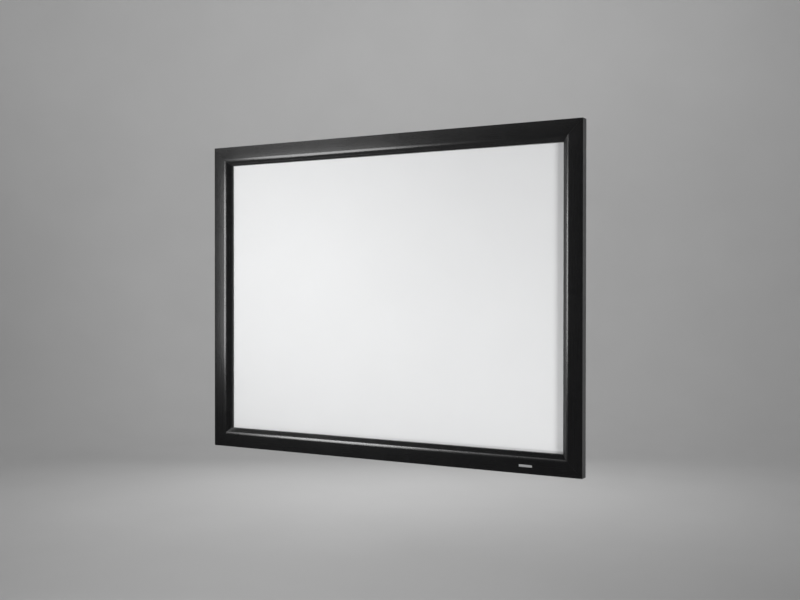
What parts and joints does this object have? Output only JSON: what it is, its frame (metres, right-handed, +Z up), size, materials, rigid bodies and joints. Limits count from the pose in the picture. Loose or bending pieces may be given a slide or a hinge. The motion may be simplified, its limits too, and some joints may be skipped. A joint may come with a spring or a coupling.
{
  "type": "fixed frame projector screen",
  "caption": "Wall-hung projection screen: a white sheet stretched by rods and springs behind a mitred, moulded black aluminium frame.",
  "frame": {"origin": "centre of the frame's outer box; the wall plane is 20 mm behind it, at y = +0.02", "axes": "+Z up, the picture side faces -Y, +X to the right seen from the front"},
  "size_m": [1.768, 0.04, 1.368],
  "materials": {
    "frame_black": "satin",
    "sheet_white": "matte",
    "rod_glass_fibre": "satin",
    "spring_steel": "satin",
    "zinc_steel": "satin",
    "screw_steel": "satin"
  },
  "bodies": {
    "root": {"screen_sheet": "sheet_white", "frame_top": "frame_black", "tension_rod_top": "rod_glass_fibre", "tension_spring_top_1": "spring_steel", "tension_spring_top_2": "spring_steel", "tension_spring_top_3": "spring_steel", "tension_spring_top_4": "spring_steel", "tension_spring_top_5": "spring_steel", "frame_right": "frame_black", "tension_rod_right": "rod_glass_fibre", "tension_spring_right_1": "spring_steel", "tension_spring_right_2": "spring_steel", "tension_spring_right_3": "spring_steel", "tension_spring_right_4": "spring_steel", "frame_bottom": "frame_black", "tension_rod_bottom": "rod_glass_fibre", "tension_spring_bottom_1": "spring_steel", "tension_spring_bottom_2": "spring_steel", "tension_spring_bottom_3": "spring_steel", "tension_spring_bottom_4": "spring_steel", "tension_spring_bottom_5": "spring_steel", "frame_left": "frame_black", "tension_rod_left": "rod_glass_fibre", "tension_spring_left_1": "spring_steel", "tension_spring_left_2": "spring_steel", "tension_spring_left_3": "spring_steel", "tension_spring_left_4": "spring_steel", "corner_key_top_left": "zinc_steel", "key_screw_top_left_1": "screw_steel", "key_screw_top_left_2": "screw_steel", "key_screw_top_left_3": "screw_steel", "key_screw_top_left_4": "screw_steel", "corner_key_top_right": "zinc_steel", "key_screw_top_right_1": "screw_steel", "key_screw_top_right_2": "screw_steel", "key_screw_top_right_3": "screw_steel", "key_screw_top_right_4": "screw_steel", "corner_key_bottom_right": "zinc_steel", "key_screw_bottom_right_1": "screw_steel", "key_screw_bottom_right_2": "screw_steel", "key_screw_bottom_right_3": "screw_steel", "key_screw_bottom_right_4": "screw_steel", "corner_key_bottom_left": "zinc_steel", "key_screw_bottom_left_1": "screw_steel", "key_screw_bottom_left_2": "screw_steel", "key_screw_bottom_left_3": "screw_steel", "key_screw_bottom_left_4": "screw_steel", "wall_hanger_left": "zinc_steel", "wall_clip_left": "zinc_steel", "wall_hanger_right": "zinc_steel", "wall_clip_right": "zinc_steel"}
  },
  "joints": []
}
